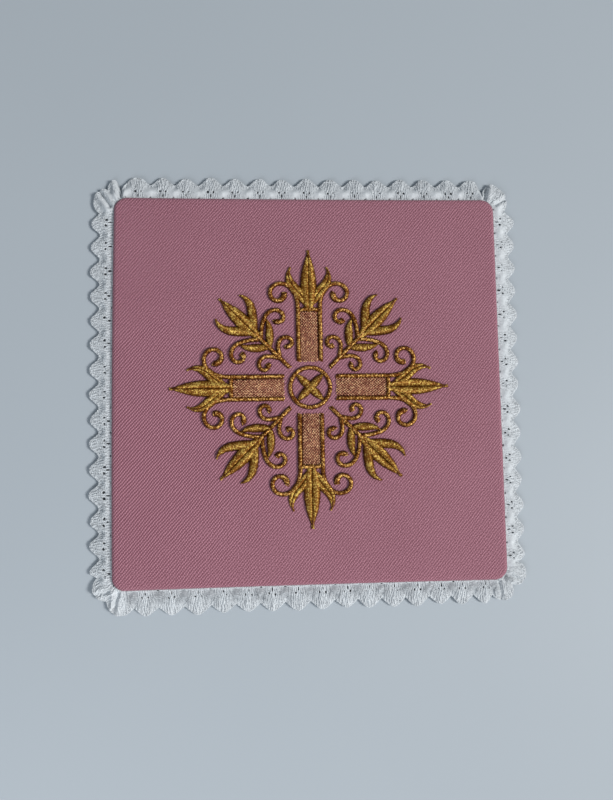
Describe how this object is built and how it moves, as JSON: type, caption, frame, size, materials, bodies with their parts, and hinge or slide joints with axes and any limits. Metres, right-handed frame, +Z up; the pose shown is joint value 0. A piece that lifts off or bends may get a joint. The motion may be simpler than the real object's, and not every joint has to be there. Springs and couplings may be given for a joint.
{
  "type": "chalice pall",
  "caption": "Square stiff altar cloth covered in rose twill, with raised gold stitching in a cross of scrolls and leaves and a scalloped white lace edging.",
  "frame": {"origin": "middle of the flat underside, on the surface it lies on", "axes": "+Z up out of the embroidered face, +Y towards the far side as it lies in the picture, +X to the right"},
  "size_m": [0.1756, 0.1763, 0.0058],
  "materials": {
    "rose_twill": "matt twill weave",
    "white_cotton_lace": "matt cotton lace",
    "gold_thread": "glossy embroidery thread"
  },
  "bodies": {
    "root": {"panel": "rose_twill", "lace_edging": "white_cotton_lace", "medallion": "gold_thread", "arm_1": "gold_thread", "arm_2": "gold_thread", "arm_3": "gold_thread", "arm_4": "gold_thread", "sprig_1": "gold_thread", "sprig_2": "gold_thread", "sprig_3": "gold_thread", "sprig_4": "gold_thread"}
  },
  "joints": []
}
